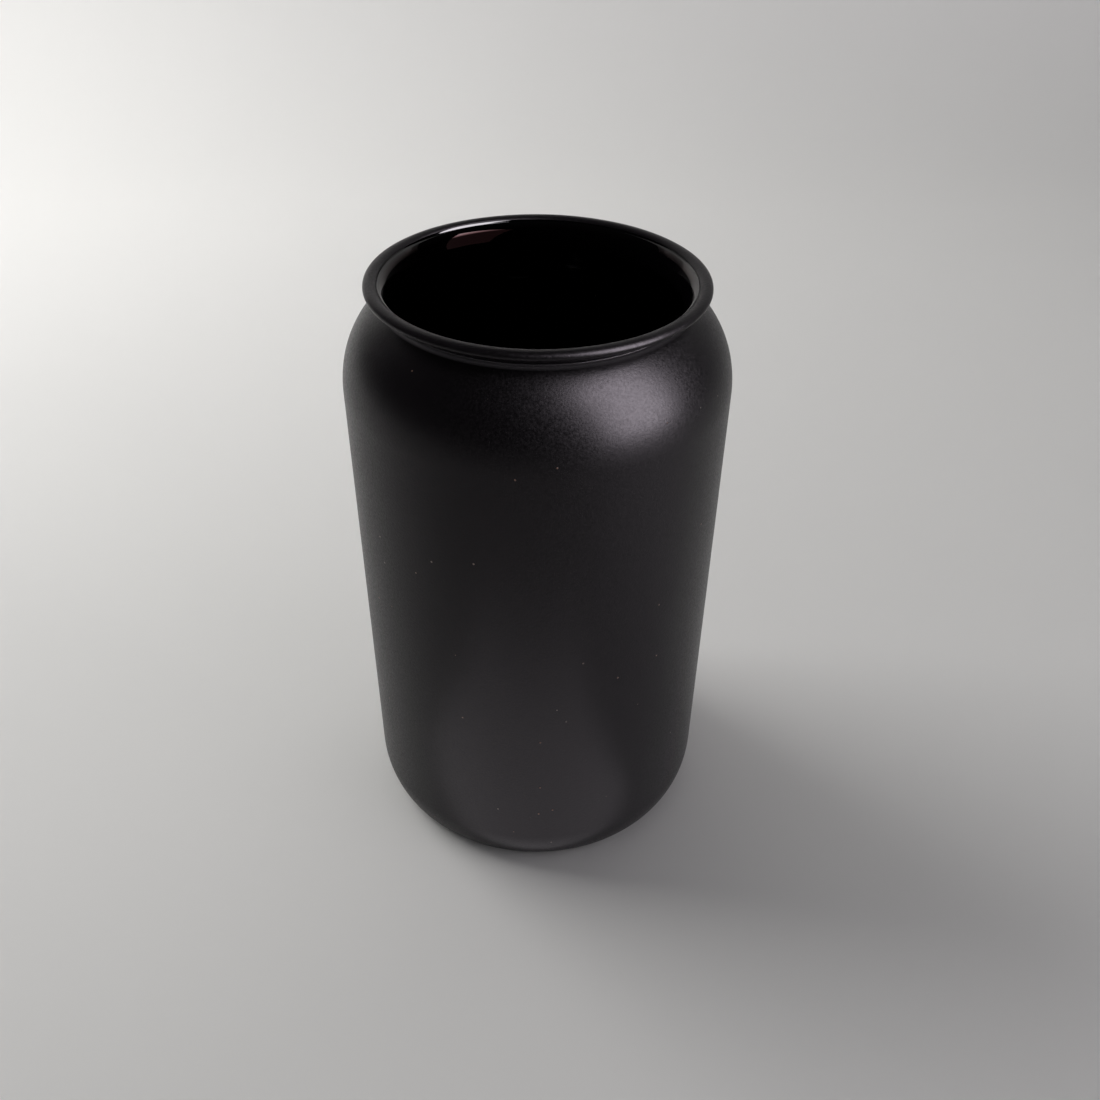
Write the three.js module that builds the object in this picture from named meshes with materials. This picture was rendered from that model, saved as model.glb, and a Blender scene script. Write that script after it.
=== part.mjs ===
// An empty glass candle jar in the shape of a drinks can: a blown glass vessel
// with a flared, beaded lip, and the film of matte black lacquer sprayed on its
// outside.
//
// Units are millimetres and +Z is up. The origin is the centre of the base, on
// the surface that the jar stands on. Both pieces are surfaces of revolution,
// so each is one closed outline of (radius, height) points turned about Z.

import * as THREE from 'three';

// Driving dimensions of the finished jar, over the lacquer.
const BODY_RADIUS = 40.3;
const STANDING_RADIUS = 34.9; // outer edge of the ring that the jar stands on
const HEEL_HEIGHT = 10.4; // where the rounded heel meets the straight wall
const WALL_TOP = 110.9; // where the straight wall meets the shoulder
const SHOULDER_DEPTH = 17.4; // radial half-axis of the shoulder's ellipse
const SHOULDER_RISE = 20.0; // upright half-axis of the shoulder's ellipse
const SHOULDER_END = 62; // degrees along that ellipse where the ledge begins
const LEDGE_ROLL = 1.2; // radius that rolls the shoulder over into a narrow ledge
const LEDGE_TILT = 6; // degrees that the ledge still falls outwards at the neck
const NECK_CREASE = 0.15; // tight hollow curve from the ledge into the neck
const NECK_LEAN = 44; // degrees that the neck leans outwards, up to the lip
const LIP_HOLLOW = 0.7; // hollow curve from the neck out into the lip
const BEAD_RADIUS = 33.06; // centre line of the bead around the lip
const BEAD_CENTRE = 132.16;
const BEAD_HALF_WIDTH = 1.42;
const BEAD_HALF_HEIGHT = 1.04;
const BEAD_END = 160; // degrees from outwards, over the top, to the lacquer's edge

// The glass.
const WALL_THICKNESS = 2.2;
const INNER_SHOULDER_END = 61; // degrees
const THROAT_CURL = 1.95; // radius that turns the inside of the shoulder up into the throat
const THROAT_FLARE = 5.0; // radius that opens the throat towards the lip
const THROAT_FLARE_END = 56; // degrees
const INNER_HEEL_RADIUS = 9;
const FLOOR_HEIGHT = 6.4; // inside floor at the axis
const FLOOR_EDGE_HEIGHT = 6.0;
const PUSH_UP_HEIGHT = 1.8; // hollow under the base, inside the standing ring
const PUSH_UP_RADIUS = 25;
const STANDING_RING_INNER_RADIUS = 31;
const BARE_HEEL_END = 15; // degrees up the heel that the lacquer leaves bare

// The lacquer. A sprayed film is thinner than a solid can usefully be.
const LACQUER_THICKNESS = 0.15;
const LACQUER_CLEARANCE = 0.05;
const LACQUER_START = 20; // degrees up the heel

// Facets.
const TURN_SEGMENTS = 60;
const HEEL_STEPS = 5;
const BARE_HEEL_STEPS = 2;
const SHOULDER_STEPS = 8;
const LEDGE_STEPS = 2;
const CREASE_STEPS = 2;
const HOLLOW_STEPS = 2;
const BEAD_STEPS = 10;
const THROAT_CURL_STEPS = 2;
const THROAT_STEPS = 4;
const PUSH_UP_STEPS = 3;

// Depths below the finished outside.
const LACQUER_INNER_FACE = LACQUER_THICKNESS;
const GLASS_OUTER_FACE = LACQUER_THICKNESS + LACQUER_CLEARANCE;
const GLASS_INNER_FACE = GLASS_OUTER_FACE + WALL_THICKNESS;

const point = (radius, height) => new THREE.Vector2(radius, height);

const circle = (radius, z, size) => ({ radius, z, width: size, height: size });

function ellipseNormal(ellipse, degrees) {
  const angle = THREE.MathUtils.degToRad(degrees);
  return point(Math.cos(angle) / ellipse.width, Math.sin(angle) / ellipse.height).normalize();
}

// A point on an ellipse, moved towards its inside by inset, square to the curve.
function ellipsePoint(ellipse, degrees, inset) {
  const angle = THREE.MathUtils.degToRad(degrees);
  return point(
    ellipse.radius + ellipse.width * Math.cos(angle),
    ellipse.z + ellipse.height * Math.sin(angle),
  ).addScaledVector(ellipseNormal(ellipse, degrees), -inset);
}

function ellipsePoints(ellipse, fromDegrees, toDegrees, steps, inset) {
  const points = [];
  for (let step = 0; step <= steps; step += 1) {
    const degrees = THREE.MathUtils.lerp(fromDegrees, toDegrees, step / steps);
    points.push(ellipsePoint(ellipse, degrees, inset));
  }
  return points;
}

const heel = {
  radius: STANDING_RADIUS,
  z: HEEL_HEIGHT,
  width: BODY_RADIUS - STANDING_RADIUS,
  height: HEEL_HEIGHT,
};

const shoulder = {
  radius: BODY_RADIUS - SHOULDER_DEPTH,
  z: WALL_TOP,
  width: SHOULDER_DEPTH,
  height: SHOULDER_RISE,
};

const bead = {
  radius: BEAD_RADIUS,
  z: BEAD_CENTRE,
  width: BEAD_HALF_WIDTH,
  height: BEAD_HALF_HEIGHT,
};

// The shoulder rolls over into a narrow ledge. From there the neck is a hollow
// curve, a straight lean outwards and a second hollow curve. The hollow curves
// have their centres outside the jar, so a piece that lies deeper has larger ones.
function neckPoints(inset) {
  const slope = THREE.MathUtils.radToDeg(ellipseNormal(shoulder, SHOULDER_END).angle());
  const rollCentre = ellipsePoint(shoulder, SHOULDER_END, LEDGE_ROLL);
  const roll = circle(rollCentre.x, rollCentre.y, LEDGE_ROLL);
  const creaseCentre = ellipsePoint(roll, 90 - LEDGE_TILT, -NECK_CREASE);
  const crease = circle(creaseCentre.x, creaseCentre.y, NECK_CREASE);
  const lean = THREE.MathUtils.degToRad(NECK_LEAN);
  const leanStart = ellipsePoint(crease, 180 - NECK_LEAN, 0);
  const hollowHeight = BEAD_CENTRE - BEAD_HALF_HEIGHT - LIP_HOLLOW;
  const leanRise = hollowHeight + LIP_HOLLOW * Math.sin(lean) - leanStart.y;
  const hollowRadius = leanStart.x + leanRise * Math.tan(lean) + LIP_HOLLOW * Math.cos(lean);
  const hollow = circle(hollowRadius, hollowHeight, LIP_HOLLOW);
  return [
    ...ellipsePoints(roll, slope, 90 - LEDGE_TILT, LEDGE_STEPS, inset),
    ...ellipsePoints(crease, 270 - LEDGE_TILT, 180 - NECK_LEAN, CREASE_STEPS, -inset).slice(1),
    ...ellipsePoints(hollow, 180 - NECK_LEAN, 90, HOLLOW_STEPS, -inset),
  ];
}

// The jar's outside, from the heel over the lip, moved inwards by inset.
function outsidePoints(heelStart, inset) {
  return [
    ...ellipsePoints(heel, heelStart - 90, 0, HEEL_STEPS, inset),
    ...ellipsePoints(shoulder, 0, SHOULDER_END, SHOULDER_STEPS, inset),
    ...neckPoints(inset).slice(1),
    ...ellipsePoints(bead, -90, BEAD_END, BEAD_STEPS, inset),
  ];
}

// The base from the axis outwards: the push-up, the flat ring that the jar
// stands on, and the foot of the heel that stays bare.
function undersidePoints() {
  const sweep = {
    radius: PUSH_UP_RADIUS,
    z: 0,
    width: STANDING_RING_INNER_RADIUS - PUSH_UP_RADIUS,
    height: PUSH_UP_HEIGHT,
  };
  return [
    point(0, PUSH_UP_HEIGHT),
    ...ellipsePoints(sweep, 90, 0, PUSH_UP_STEPS, 0),
    ...ellipsePoints(heel, -90, BARE_HEEL_END - 90, BARE_HEEL_STEPS, 0),
  ];
}

// The inside, from the flare of the lip down to the axis.
function insidePoints() {
  const slope = THREE.MathUtils.radToDeg(ellipseNormal(shoulder, INNER_SHOULDER_END).angle());
  const curlCentre = ellipsePoint(shoulder, INNER_SHOULDER_END, GLASS_INNER_FACE - THROAT_CURL);
  const curl = circle(curlCentre.x, curlCentre.y, THROAT_CURL);
  const flareRadius = curlCentre.x - THROAT_CURL + THROAT_FLARE;
  const flare = circle(flareRadius, curlCentre.y, THROAT_FLARE);
  const innerHeel = circle(
    BODY_RADIUS - GLASS_INNER_FACE - INNER_HEEL_RADIUS,
    FLOOR_EDGE_HEIGHT + INNER_HEEL_RADIUS,
    INNER_HEEL_RADIUS,
  );
  return [
    ...ellipsePoints(flare, 180 - THROAT_FLARE_END, 180, THROAT_STEPS, 0),
    ...ellipsePoints(curl, 180, 180 + slope, THROAT_CURL_STEPS, 0).slice(1),
    ...ellipsePoints(shoulder, INNER_SHOULDER_END, 0, SHOULDER_STEPS, GLASS_INNER_FACE).slice(1),
    ...ellipsePoints(innerHeel, 0, -90, HEEL_STEPS, 0),
    point(0, FLOOR_HEIGHT),
  ];
}

function turned(name, outline, material) {
  const geometry = new THREE.LatheGeometry(outline, TURN_SEGMENTS);
  geometry.rotateX(Math.PI / 2);
  const mesh = new THREE.Mesh(geometry, material);
  mesh.name = name;
  return mesh;
}

function glassJar() {
  const outline = [
    ...undersidePoints(),
    ...outsidePoints(LACQUER_START, GLASS_OUTER_FACE),
    ...insidePoints(),
  ];
  const glass = new THREE.MeshStandardMaterial({ color: 0x0a0a0b, roughness: 0.05, metalness: 0 });
  return turned('glass_jar', outline, glass);
}

function lacquerCoat() {
  const outerFace = outsidePoints(LACQUER_START, 0);
  const innerFace = outsidePoints(LACQUER_START, LACQUER_INNER_FACE);
  const outline = [...outerFace, ...innerFace.reverse(), outerFace[0].clone()];
  const lacquer = new THREE.MeshStandardMaterial({ color: 0x1c1b1c, roughness: 0.5, metalness: 0 });
  return turned('lacquer_coat', outline, lacquer);
}

const candleJar = new THREE.Group();
candleJar.add(glassJar(), lacquerCoat());

export default candleJar;
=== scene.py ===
import math

import bmesh
import bpy
from mathutils import Matrix, Vector


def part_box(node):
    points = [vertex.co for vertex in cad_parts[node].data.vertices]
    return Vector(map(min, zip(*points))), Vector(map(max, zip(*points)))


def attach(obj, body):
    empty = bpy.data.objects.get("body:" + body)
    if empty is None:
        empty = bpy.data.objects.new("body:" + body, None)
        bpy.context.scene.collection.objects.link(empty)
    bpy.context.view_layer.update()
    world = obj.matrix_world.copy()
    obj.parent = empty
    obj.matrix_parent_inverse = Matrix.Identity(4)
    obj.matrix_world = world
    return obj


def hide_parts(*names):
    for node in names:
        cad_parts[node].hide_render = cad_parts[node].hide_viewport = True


# An empty candle jar in the shape of a drinks can: black-backed glass with a
# sprayed coat of matte black lacquer, standing on a pale studio sweep.
#
# Lengths are metres and +Z is up. The jar stands on z = 0 with its axis on Z.
# Both pieces are turned from outlines of (radius, height) points, made of arcs
# of ellipses. An arc's angles are in degrees: 0 points away from the jar's axis
# and 90 points up. An outline's azimuth runs anticlockwise around the axis from
# +X.

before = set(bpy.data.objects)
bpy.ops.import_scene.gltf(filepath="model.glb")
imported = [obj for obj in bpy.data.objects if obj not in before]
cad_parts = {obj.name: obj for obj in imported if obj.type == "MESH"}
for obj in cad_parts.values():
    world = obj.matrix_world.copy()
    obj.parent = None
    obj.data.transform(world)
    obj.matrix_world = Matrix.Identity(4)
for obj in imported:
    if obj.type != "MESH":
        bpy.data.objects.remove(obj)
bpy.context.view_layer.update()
_, coat_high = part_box("lacquer_coat")

MM = 0.001

# The finished outside, over the lacquer.
BODY_RADIUS = coat_high.x
RIM_HEIGHT = coat_high.z
STANDING_RADIUS = 34.9 * MM
HEEL_HEIGHT = 10.4 * MM
WALL_TOP = 110.9 * MM
SHOULDER_DEPTH = 17.4 * MM
SHOULDER_RISE = 20.0 * MM
SHOULDER_END = 62
LEDGE_ROLL = 1.2 * MM
LEDGE_TILT = 6
NECK_CREASE = 0.15 * MM
NECK_LEAN = 44
LIP_HOLLOW = 0.7 * MM
BEAD_RADIUS = 33.06 * MM
BEAD_HALF_WIDTH = 1.42 * MM
BEAD_HALF_HEIGHT = 1.03 * MM

# The glass. Its two faces are inset from the finished outside.
GLASS_INSET = 0.2 * MM
WALL_INSET = 2.4 * MM
GLASS_BEAD_END = 176
INNER_SHOULDER_END = 61
THROAT_CURL = 1.95 * MM
THROAT_FLARE = 5.0 * MM
THROAT_FLARE_END = 56
INNER_HEEL_RADIUS = 9 * MM
FLOOR_HEIGHT = 6.4 * MM
FLOOR_EDGE_HEIGHT = 6.0 * MM
PUSH_UP_HEIGHT = 1.8 * MM
PUSH_UP_RADIUS = 25 * MM
PUSH_UP_END = 2
STANDING_RING_INNER_RADIUS = 31 * MM

# The lacquer starts this many degrees up the heel, where a step in the glass
# makes room for it, and ends this many degrees along the bead. Around the mouth
# its end wanders, falls short at one place and reaches further in at another.
# The azimuths and widths of these places are in degrees too.
COAT_START = 16
COAT_START_STEP = 1
COAT_END = 160
COAT_END_WANDER = 3
COAT_END_WAVES = ((0.5, 3, 0.7), (0.3, 11, 2.1), (0.2, 29, 4.0))
COAT_RETREAT = {"degrees": 18, "azimuth": 119, "width": 20}
COAT_REACH = {"degrees": 7, "azimuth": 5, "width": 17}
COAT_THICKNESS = 0.15 * MM
COAT_EDGE_THICKNESS = 0.05 * MM
COAT_EDGE_GAP = 0.01 * MM

# The rounding of the film's edge: degrees past its end, and its depth as a share
# of the edge's thickness.
COAT_EDGE_ROUNDING = ((1.2, 0.24), (1.6, 0.7))

# The fire-polished lip sags a little, least at one side.
LIP_FOOT = 128.6 * MM
LIP_SAG = 0.22 * MM
LIP_HIGH_SIDE = math.radians(120)
LIP_RIPPLE = 0.05 * MM
LIP_WAVES = ((0.3, 5, 1.0), (0.2, 9, 0.4))

# Facets around the axis, and along each arc of the outlines.
TURNS = 288
HEEL_STEPS = 18
BARE_HEEL_STEPS = 6
SHOULDER_STEPS = 36
ROLL_STEPS = 8
CREASE_STEPS = 6
HOLLOW_STEPS = 8
BEAD_STEPS = 24
COAT_EDGE_STEPS = 12
GLASS_EDGE_STEPS = 16
THROAT_STEPS = 18
CURL_STEPS = 8
PUSH_UP_STEPS = 12

# Bands of height on the jar: where each begins, is full, starts to fade and ends.
# A painted light band on the narrow ledge under the lip stands in for a reflection. Overspray dulls
# the throat.
PAINTED_LEDGE_SHEEN_HEIGHTS = (128.2 * MM, 128.55 * MM, 128.8 * MM, 128.9 * MM)
MIST_HEIGHTS = (124 * MM, 126 * MM, 131.1 * MM, 132.1 * MM)

# The surface of the lacquer. Roughnesses run from smooth to rough spots.
LACQUER_DARKER = (0.0036, 0.0028, 0.0038)
LACQUER_LIGHTER = (0.0052, 0.0042, 0.005)
LACQUER_SPECULAR_TINT = (1.0, 0.94, 1.0)
LACQUER_ROUGHNESS = (0.28, 0.45)
LACQUER_IOR = 1.28
CLOUD_SIZE = 24 * MM
PEEL_SIZE = 2.2 * MM
PEEL_DEPTH = 0.006 * MM
GRAIN_SIZE = 0.5 * MM
GRAIN_DEPTH = 0.03 * MM
# A painted light colour for the ledge under the lip, standing in for a reflection.
PAINTED_LEDGE_SHEEN = (0.17, 0.16, 0.17)
GREY_LINT = (0.2, 0.19, 0.18)
BROWN_LINT = (0.26, 0.12, 0.07)
LINT_SPACING = 5 * MM
LINT_SIZE = 0.24 * MM
LINT_DEPTH = 0.05 * MM

# The surface of the glass.
GLASS_BLACK = (0.0008, 0.0007, 0.0009)
GLASS_ROUGHNESS = (0.03, 0.09)
GLASS_IOR = 1.5
RIPPLE_SIZE = 16 * MM
RIPPLE_DEPTH = 0.02 * MM
HAZE_SIZE = 9 * MM
DIM_LINT = (0.06, 0.06, 0.06)
PALE_LINT = (0.12, 0.11, 0.1)
GLASS_LINT_SIZE = 0.22 * MM

# What the mist in the throat does to the glass: without it, and in it.
MIST_SPECULAR_LEVEL = (0.5, 0.004)
MIST_SPECULAR_TINT = ((1, 1, 1), (1, 0.45, 0.45))

# The studio. The room is a pale wall to the camera, and dimmer as light.
SWEEP_DARKER = (0.77, 0.764, 0.75)
SWEEP_LIGHTER = (0.81, 0.804, 0.79)
SWEEP_ROUGHNESS = 0.7
MOTTLE_SIZE = 0.3
SWEEP_HALF_WIDTH = 1.6
SWEEP_FRONT = -1.6
SWEEP_BEND_START = 0.42
SWEEP_BEND_RADIUS = 0.22
SWEEP_BEND_STEPS = 16
SWEEP_TOP = 1.1
KEY_DISTANCE = 0.9
ROOM_SEEN = (0.45, 0.45, 0.45)
ROOM_LIGHT = (0.145, 0.145, 0.149)
ROOM_IN_GLOSS = (0.012, 0.012, 0.013)

# A phone held above and in front of the jar.
CAMERA_PLACE = Vector((0, -0.2013, 0.21655))
CAMERA_DOWN = math.radians(36.98)
CAMERA_RIGHT = math.radians(0.851)
CAMERA_ROLL = math.radians(0.708)
CAMERA_SENSOR_MM = 36
CAMERA_LENS_MM = 35.02
CAMERA_NEAR = 10 * MM


# Outlines.


def ellipse(radius, height, half_width, half_height):
    """An ellipse around the point at a radius and height."""
    return {"centre": Vector((radius, height)), "half": Vector((half_width, half_height))}


def circle(centre, size):
    """A circle around a point, as an ellipse."""
    return ellipse(*centre, size, size)


def ellipse_normal(curve, degrees):
    """The direction that points squarely out of an ellipse."""
    angle = math.radians(degrees)
    return Vector((math.cos(angle) / curve["half"].x, math.sin(angle) / curve["half"].y)).normalized()


def ellipse_point(curve, degrees, inset):
    """A point on an ellipse, moved towards its inside by inset."""
    angle = math.radians(degrees)
    offset = Vector((curve["half"].x * math.cos(angle), curve["half"].y * math.sin(angle)))
    return curve["centre"] + offset - ellipse_normal(curve, degrees) * inset


def arc(curve, start, end, steps, inset=0.0, last_inset=None):
    """Points along an ellipse, whose inset can change evenly to last_inset."""
    last_inset = inset if last_inset is None else last_inset
    points = []
    for step in range(steps + 1):
        part = step / steps
        degrees = start + (end - start) * part
        points.append(ellipse_point(curve, degrees, inset + (last_inset - inset) * part))
    return points


BEAD_CENTRE = RIM_HEIGHT - BEAD_HALF_HEIGHT
heel = ellipse(STANDING_RADIUS, HEEL_HEIGHT, BODY_RADIUS - STANDING_RADIUS, HEEL_HEIGHT)
shoulder = ellipse(BODY_RADIUS - SHOULDER_DEPTH, WALL_TOP, SHOULDER_DEPTH, SHOULDER_RISE)
ledge_roll = circle(ellipse_point(shoulder, SHOULDER_END, LEDGE_ROLL), LEDGE_ROLL)
neck_crease = circle(ellipse_point(ledge_roll, 90 - LEDGE_TILT, -NECK_CREASE), NECK_CREASE)
bead = ellipse(BEAD_RADIUS, BEAD_CENTRE, BEAD_HALF_WIDTH, BEAD_HALF_HEIGHT)
curl_centre = ellipse_point(shoulder, INNER_SHOULDER_END, WALL_INSET - THROAT_CURL)
throat_curl = circle(curl_centre, THROAT_CURL)
throat_flare = circle((curl_centre.x - THROAT_CURL + THROAT_FLARE, curl_centre.y), THROAT_FLARE)
inner_heel = circle(
    (BODY_RADIUS - WALL_INSET - INNER_HEEL_RADIUS, FLOOR_EDGE_HEIGHT + INNER_HEEL_RADIUS),
    INNER_HEEL_RADIUS,
)
push_up = ellipse(
    PUSH_UP_RADIUS,
    0,
    STANDING_RING_INNER_RADIUS - PUSH_UP_RADIUS,
    PUSH_UP_HEIGHT,
)


def slope_at(degrees):
    """The direction of the shoulder's normal at a point of its ellipse, in degrees."""
    normal = ellipse_normal(shoulder, degrees)
    return math.degrees(math.atan2(normal.y, normal.x))


def lip_hollow():
    """The hollow curve that carries the leaning neck out under the bead."""
    lean = math.radians(NECK_LEAN)
    lean_start = ellipse_point(neck_crease, 180 - NECK_LEAN, 0)
    height = BEAD_CENTRE - BEAD_HALF_HEIGHT - LIP_HOLLOW
    rise = height + LIP_HOLLOW * math.sin(lean) - lean_start.y
    radius = lean_start.x + rise * math.tan(lean) + LIP_HOLLOW * math.cos(lean)
    return circle((radius, height), LIP_HOLLOW)


def neck(inset):
    """The shoulder's narrow ledge, the crease in its corner and the lean up to the lip."""
    return [
        *arc(ledge_roll, slope_at(SHOULDER_END), 90 - LEDGE_TILT, ROLL_STEPS, inset),
        *arc(neck_crease, 270 - LEDGE_TILT, 180 - NECK_LEAN, CREASE_STEPS, -inset)[1:],
        *arc(lip_hollow(), 180 - NECK_LEAN, 90, HOLLOW_STEPS, -inset),
    ]


def up_to_the_bead(heel_start, inset):
    """The jar's outside from the heel to the foot of the bead, moved inwards by inset."""
    return [
        *arc(heel, heel_start - 90, 0, HEEL_STEPS, inset),
        *arc(shoulder, 0, SHOULDER_END, SHOULDER_STEPS, inset),
        *neck(inset)[1:],
    ]


def waves(azimuth, parts):
    """A sum of sines around the axis, each with its share, count and phase."""
    return sum(share * math.sin(count * azimuth + phase) for share, count, phase in parts)


def bell(azimuth, place):
    """A place's degrees at its own azimuth, fading to 0 on each side of it."""
    away = math.remainder(azimuth - math.radians(place["azimuth"]), 2 * math.pi)
    return place["degrees"] * math.exp(-(away / math.radians(place["width"])) ** 2)


def coat_end(azimuth):
    """Degrees along the bead where the lacquer stops."""
    wander = COAT_END_WANDER * waves(azimuth, COAT_END_WAVES)
    return COAT_END + wander - bell(azimuth, COAT_RETREAT) + bell(azimuth, COAT_REACH)


def coat_outline(azimuth):
    """The closed outline of the film: up its outside, over its edge and back down its inside."""
    end = coat_end(azimuth)
    outer = [
        *up_to_the_bead(COAT_START, 0),
        *arc(bead, -90, 90, BEAD_STEPS)[1:],
        *arc(bead, 90, end, COAT_EDGE_STEPS)[1:],
    ]
    rounded_edge = [
        ellipse_point(bead, end + past, COAT_EDGE_THICKNESS * depth)
        for past, depth in COAT_EDGE_ROUNDING
    ]
    inner = [
        *up_to_the_bead(COAT_START, COAT_THICKNESS),
        *arc(bead, -90, 90, BEAD_STEPS, COAT_THICKNESS)[1:],
        *arc(bead, 90, end, COAT_EDGE_STEPS, COAT_THICKNESS, COAT_EDGE_THICKNESS)[1:],
    ]
    return outer + rounded_edge + inner[::-1]


def glass_outline(azimuth):
    """From the axis under the base, over the lip, to the axis on the inside floor."""
    bare_heel_end = COAT_START - COAT_START_STEP - 90
    under_the_edge = COAT_EDGE_THICKNESS + COAT_EDGE_GAP
    return [
        Vector((0, PUSH_UP_HEIGHT)),
        *arc(push_up, 90, PUSH_UP_END, PUSH_UP_STEPS),
        *arc(heel, -90, bare_heel_end, BARE_HEEL_STEPS),
        *up_to_the_bead(COAT_START + COAT_START_STEP, GLASS_INSET),
        *arc(bead, -90, 90, BEAD_STEPS, GLASS_INSET)[1:],
        *arc(bead, 90, GLASS_BEAD_END, GLASS_EDGE_STEPS, GLASS_INSET, under_the_edge)[1:],
        *arc(throat_flare, 180 - THROAT_FLARE_END, 180, THROAT_STEPS),
        *arc(throat_curl, 180, 180 + slope_at(INNER_SHOULDER_END), CURL_STEPS)[1:],
        *arc(shoulder, INNER_SHOULDER_END, 0, SHOULDER_STEPS, WALL_INSET)[1:],
        *arc(inner_heel, 0, -90, HEEL_STEPS),
        Vector((0, FLOOR_HEIGHT)),
    ]


# Shapes.


def smooth_step(value, low, high):
    """0 below low and 1 above high, with a smooth rise between them."""
    part = min(max((value - low) / (high - low), 0), 1)
    return part * part * (3 - 2 * part)


def lip_sag(azimuth, height):
    """How far the softened lip has sunk."""
    away = 0.5 - 0.5 * math.cos(azimuth - LIP_HIGH_SIDE)
    ripple = 0.5 - waves(azimuth, LIP_WAVES)
    return (LIP_SAG * away + LIP_RIPPLE * ripple) * smooth_step(height, LIP_FOOT, RIM_HEIGHT)


def turned_place(radius, height, azimuth):
    """An outline's point, turned around the axis."""
    return Vector((
        radius * math.cos(azimuth),
        radius * math.sin(azimuth),
        height - lip_sag(azimuth, height),
    ))


def add_object(name, data):
    """An object in the scene, of a mesh, a light or a camera."""
    item = bpy.data.objects.new(name, data)
    bpy.context.scene.collection.objects.link(item)
    return item


def add_mesh(name, mesh, material):
    """An object in the scene, of a finished bmesh."""
    data = bpy.data.meshes.new(name)
    mesh.to_mesh(data)
    mesh.free()
    data.materials.append(material)
    return add_object(name, data)


def turned(name, outline_at, closed, material):
    """A solid turned about Z.

    A closed outline makes a ring, and an open one starts and ends on the axis.
    """
    mesh = bmesh.new()
    poles = {}
    rings = []
    for turn in range(TURNS):
        azimuth = 2 * math.pi * turn / TURNS
        ring = []
        for step, (radius, height) in enumerate(outline_at(azimuth)):
            vertex = poles.get(step) or mesh.verts.new(turned_place(radius, height, azimuth))
            if radius == 0:
                poles[step] = vertex
            ring.append(vertex)
        rings.append(ring)
    for turn, ring in enumerate(rings):
        following = rings[(turn + 1) % TURNS]
        steps = len(ring) if closed else len(ring) - 1
        for step in range(steps):
            after = (step + 1) % len(ring)
            # A face on the axis has three corners, because two of the four are its pole.
            corners = dict.fromkeys((ring[step], following[step], following[after], ring[after]))
            mesh.faces.new(list(corners)).smooth = True
    bmesh.ops.recalc_face_normals(mesh, faces=mesh.faces)
    return add_mesh(name, mesh, material)


# Materials.


def new_material(name):
    """A material, its node tree and its main shader."""
    material = bpy.data.materials.new(name)
    material.use_nodes = True
    return material, material.node_tree, material.node_tree.nodes["Principled BSDF"]


def own_coordinates(tree):
    """The place on the object, in metres."""
    return tree.nodes.new("ShaderNodeTexCoord").outputs["Object"]


def noise(tree, place, size, detail=2.0, roughness=0.5):
    """Noise whose features are about size metres wide."""
    node = tree.nodes.new("ShaderNodeTexNoise")
    node.inputs["Scale"].default_value = 1 / size
    node.inputs["Detail"].default_value = detail
    node.inputs["Roughness"].default_value = roughness
    tree.links.new(place, node.inputs["Vector"])
    return node.outputs["Fac"]


def remap(tree, value, read, given):
    """A value carried over from the range that is read to the range that is given."""
    node = tree.nodes.new("ShaderNodeMapRange")
    keys = ("From Min", "From Max", "To Min", "To Max")
    for key, number in zip(keys, (*read, *given)):
        node.inputs[key].default_value = number
    tree.links.new(value, node.inputs["Value"])
    return node.outputs["Result"]


def mix_colours(tree, factor, first, second):
    """The first colour where the factor is 0 and the second where it is 1."""
    node = tree.nodes.new("ShaderNodeMix")
    node.data_type = "RGBA"
    tree.links.new(factor, node.inputs["Factor"])
    for key, colour in (("A", first), ("B", second)):
        socket = next(s for s in node.inputs if s.name == key and s.type == "RGBA")
        if isinstance(colour, tuple):
            socket.default_value = (*colour, 1)
        else:
            tree.links.new(colour, socket)
    return next(s for s in node.outputs if s.type == "RGBA")


def height_band(tree, place, heights):
    """1 in a band of heights, fading to 0 below and above it."""
    begins, full, fades, ends = heights
    split = tree.nodes.new("ShaderNodeSeparateXYZ")
    tree.links.new(place, split.inputs[0])
    both = tree.nodes.new("ShaderNodeMath")
    both.operation = "MULTIPLY"
    tree.links.new(remap(tree, split.outputs["Z"], (begins, full), (0, 1)), both.inputs[0])
    tree.links.new(remap(tree, split.outputs["Z"], (ends, fades), (0, 1)), both.inputs[1])
    return both.outputs[0]


def bump(tree, height, depth, before=None):
    """A relief depth metres deep, on top of the one before it."""
    node = tree.nodes.new("ShaderNodeBump")
    node.inputs["Distance"].default_value = depth
    tree.links.new(height, node.inputs["Height"])
    if before is not None:
        tree.links.new(before, node.inputs["Normal"])
    return node.outputs["Normal"]


def specks(tree, place, spacing, size, core=0.6):
    """Small sparse dots, 1 in their core and 0 outside, and a random colour for each."""
    node = tree.nodes.new("ShaderNodeTexVoronoi")
    node.inputs["Scale"].default_value = 1 / spacing
    tree.links.new(place, node.inputs["Vector"])
    edge = size / spacing
    dots = remap(tree, node.outputs["Distance"], (edge, core * edge), (0, 1))
    return dots, node.outputs["Color"]


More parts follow.
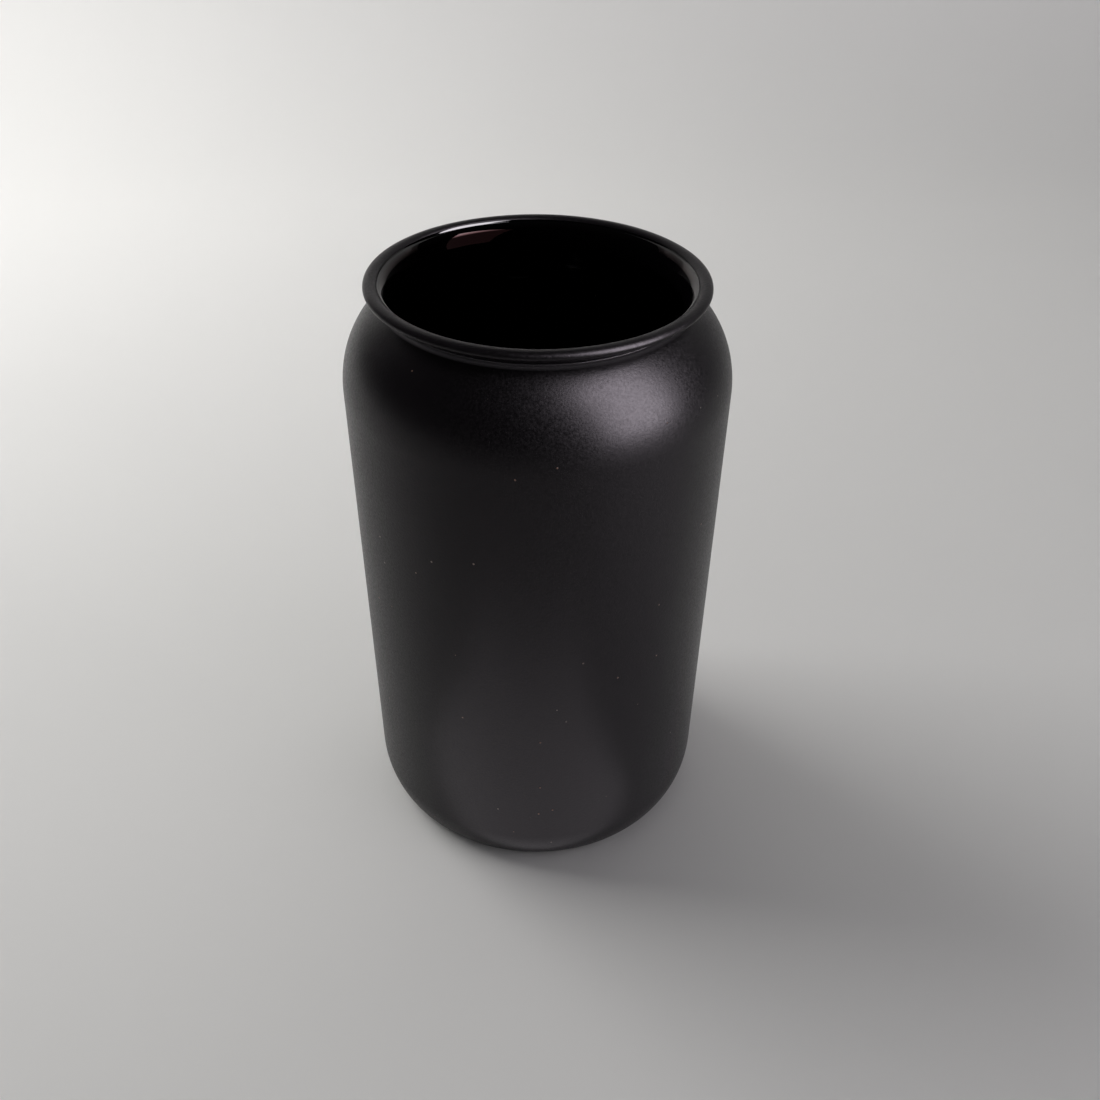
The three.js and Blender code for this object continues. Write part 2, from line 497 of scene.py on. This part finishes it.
def lacquer_material():
    """Satin black with the peel and grain of a sprayed film, a little lint, and a painted light band
    on the ledge under the lip.
    """
    material, tree, shader = new_material("matte_black_lacquer")
    place = own_coordinates(tree)
    clouds = noise(tree, place, CLOUD_SIZE)
    peel = noise(tree, place, PEEL_SIZE)
    grain = noise(tree, place, GRAIN_SIZE, detail=3.0, roughness=0.6)
    dots, dot_colour = specks(tree, place, LINT_SPACING, LINT_SIZE)
    # The band of heights on the ledge under the lip where a painted reflection goes.
    painted_sheen = height_band(tree, place, PAINTED_LEDGE_SHEEN_HEIGHTS)

    film = mix_colours(tree, clouds, LACQUER_DARKER, LACQUER_LIGHTER)
    # The painted light band: the ledge's film is lightened, in place of a reflection.
    film = mix_colours(tree, painted_sheen, film, PAINTED_LEDGE_SHEEN)
    lint = mix_colours(tree, dot_colour, GREY_LINT, BROWN_LINT)
    tree.links.new(mix_colours(tree, dots, film, lint), shader.inputs["Base Color"])

    roughness = remap(tree, grain, (0.3, 0.7), LACQUER_ROUGHNESS)
    tree.links.new(roughness, shader.inputs["Roughness"])
    shader.inputs["IOR"].default_value = LACQUER_IOR
    shader.inputs["Specular Tint"].default_value = (*LACQUER_SPECULAR_TINT, 1)

    relief = bump(tree, peel, PEEL_DEPTH)
    relief = bump(tree, grain, GRAIN_DEPTH, relief)
    relief = bump(tree, dots, LINT_DEPTH, relief)
    tree.links.new(relief, shader.inputs["Normal"])
    return material


def glass_material():
    """Gloss black on the lip and the walls, dulled by overspray inside the throat."""
    material, tree, shader = new_material("black_backed_glass")
    place = own_coordinates(tree)
    ripple = noise(tree, place, RIPPLE_SIZE, detail=1.0)
    haze = noise(tree, place, HAZE_SIZE, detail=4.0, roughness=0.6)
    dots, dot_colour = specks(tree, place, LINT_SPACING, GLASS_LINT_SIZE)
    mist = height_band(tree, place, MIST_HEIGHTS)

    lint = mix_colours(tree, dot_colour, DIM_LINT, PALE_LINT)
    tree.links.new(mix_colours(tree, dots, GLASS_BLACK, lint), shader.inputs["Base Color"])

    roughness = remap(tree, haze, (0.45, 0.75), GLASS_ROUGHNESS)
    tree.links.new(roughness, shader.inputs["Roughness"])
    shader.inputs["IOR"].default_value = GLASS_IOR
    level = remap(tree, mist, (0, 1), MIST_SPECULAR_LEVEL)
    tree.links.new(level, shader.inputs["Specular IOR Level"])
    tint = mix_colours(tree, mist, *MIST_SPECULAR_TINT)
    tree.links.new(tint, shader.inputs["Specular Tint"])

    tree.links.new(bump(tree, ripple, RIPPLE_DEPTH), shader.inputs["Normal"])
    return material


def floor_material():
    """A matte, faintly mottled off-white."""
    material, tree, shader = new_material("pale_sweep")
    mottle = noise(tree, own_coordinates(tree), MOTTLE_SIZE)
    colour = mix_colours(tree, mottle, SWEEP_DARKER, SWEEP_LIGHTER)
    tree.links.new(colour, shader.inputs["Base Color"])
    shader.inputs["Roughness"].default_value = SWEEP_ROUGHNESS
    return material


# Studio.


def sweep():
    """A pale floor that curves up into a backdrop behind the jar."""
    bend = circle((SWEEP_BEND_START, SWEEP_BEND_RADIUS), SWEEP_BEND_RADIUS)
    side = [
        Vector((SWEEP_FRONT, 0)),
        *arc(bend, -90, 0, SWEEP_BEND_STEPS),
        Vector((SWEEP_BEND_START + SWEEP_BEND_RADIUS, SWEEP_TOP)),
    ]
    mesh = bmesh.new()
    left, right = [
        [mesh.verts.new((x, y, z)) for y, z in side]
        for x in (-SWEEP_HALF_WIDTH, SWEEP_HALF_WIDTH)
    ]
    for step in range(len(side) - 1):
        corners = (left[step], right[step], right[step + 1], left[step + 1])
        mesh.faces.new(corners).smooth = True
    floor = add_mesh("sweep", mesh, floor_material())


def direction(azimuth, elevation):
    """A direction from the jar. Here azimuth 0 is towards the camera and 90 to its right."""
    around = math.radians(azimuth)
    above = math.radians(elevation)
    return Vector((
        math.sin(around) * math.cos(above),
        -math.cos(around) * math.cos(above),
        math.sin(above),
    ))


def soft_light(name, place, target, size, radiance, colour):
    """A rectangular panel that faces a target. Its energy grows with its area."""
    width, height = size
    data = bpy.data.lights.new(name, "AREA")
    data.shape = "RECTANGLE"
    data.size = width
    data.size_y = height
    data.energy = radiance * math.pi * width * height
    data.color = colour
    light = add_object(name, data)
    light.location = place
    light.rotation_euler = (place - target).to_track_quat("Z", "Y").to_euler()
    return light


def studio_lights():
    """A tall window that only the gloss shows, and fills that only the floor shows."""
    lip = Vector((0, 0, RIM_HEIGHT))
    key = soft_light(
        "key",
        place=lip + KEY_DISTANCE * direction(azimuth=58, elevation=28),
        target=lip,
        size=(0.66, 1.1),
        radiance=17.5,
        colour=(0.99, 0.94, 1.0),
    )
    key.visible_diffuse = False

    foot = Vector((-0.01, -0.075, 0.001))
    bounce = soft_light(
        "bounce",
        place=foot,
        target=foot + Vector((0, 0, 1)),
        size=(0.1, 0.07),
        radiance=0.7,
        colour=(1.0, 0.95, 1.0),
    )
    bounce.visible_diffuse = False
    bounce.visible_camera = False

    fill = soft_light(
        "fill",
        place=Vector((-0.55, 0.3, 0.52)),
        target=Vector((0, 0.12, 0)),
        size=(0.5, 0.5),
        radiance=5.0,
        colour=(1.0, 0.995, 0.98),
    )
    fill.visible_glossy = False

    backdrop = soft_light(
        "backdrop",
        place=Vector((0, 0.55, 0.9)),
        target=Vector((0, 0.6, 0.2)),
        size=(1.6, 0.3),
        radiance=1.2,
        colour=(1, 1, 1),
    )
    backdrop.visible_glossy = False


def background(tree, colour):
    """An even background of one colour."""
    node = tree.nodes.new("ShaderNodeBackground")
    node.inputs["Color"].default_value = (*colour, 1)
    return node.outputs[0]


def choose_by_ray(tree, kind, otherwise, chosen):
    """One background for a kind of ray, and the other for the rest."""
    ray = tree.nodes.new("ShaderNodeLightPath")
    mix = tree.nodes.new("ShaderNodeMixShader")
    tree.links.new(ray.outputs[kind], mix.inputs["Fac"])
    tree.links.new(otherwise, mix.inputs[1])
    tree.links.new(chosen, mix.inputs[2])
    return mix.outputs[0]


def room():
    """A pale room, dim enough to leave the gloss dark."""
    world = bpy.data.worlds.new("room")
    world.use_nodes = True
    bpy.context.scene.world = world
    tree = world.node_tree
    seen = tree.nodes["Background"]
    seen.inputs["Color"].default_value = (*ROOM_SEEN, 1)
    light = background(tree, ROOM_LIGHT)
    unseen = choose_by_ray(tree, "Is Diffuse Ray", background(tree, ROOM_IN_GLOSS), light)
    surface = choose_by_ray(tree, "Is Camera Ray", unseen, seen.outputs[0])
    tree.links.new(surface, tree.nodes["World Output"].inputs["Surface"])


def camera():
    """The phone's camera. It looks down at the jar, a little to the right, and leans a little."""
    ahead = Vector((
        math.sin(CAMERA_RIGHT) * math.cos(CAMERA_DOWN),
        math.cos(CAMERA_RIGHT) * math.cos(CAMERA_DOWN),
        -math.sin(CAMERA_DOWN),
    ))
    across = ahead.cross(Vector((0, 0, 1))).normalized()
    upwards = across.cross(ahead)
    across_rolled = math.cos(CAMERA_ROLL) * across + math.sin(CAMERA_ROLL) * upwards
    upwards_rolled = -math.sin(CAMERA_ROLL) * across + math.cos(CAMERA_ROLL) * upwards
    turn = Matrix((across_rolled, upwards_rolled, -ahead)).transposed()
    data = bpy.data.cameras.new("camera")
    data.sensor_width = CAMERA_SENSOR_MM
    data.lens = CAMERA_LENS_MM
    data.clip_start = CAMERA_NEAR
    eye = add_object("camera", data)
    eye.matrix_world = Matrix.Translation(CAMERA_PLACE) @ turn.to_4x4()
    bpy.context.scene.camera = eye


# Pieces.


def glass_vessel():
    """The glass, from the push-up under its base to its inside floor."""
    piece = turned("glass_vessel", glass_outline, closed=False, material=glass_material())
    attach(piece, "root")
    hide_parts("glass_jar")


def lacquer_film():
    """The lacquer, from the foot of the heel to just inside the mouth."""
    piece = turned("lacquer_film", coat_outline, closed=True, material=lacquer_material())
    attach(piece, "root")
    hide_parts("lacquer_coat")


camera()
glass_vessel()
lacquer_film()
sweep()
studio_lights()
room()
bpy.context.scene.view_settings.view_transform = "Standard"
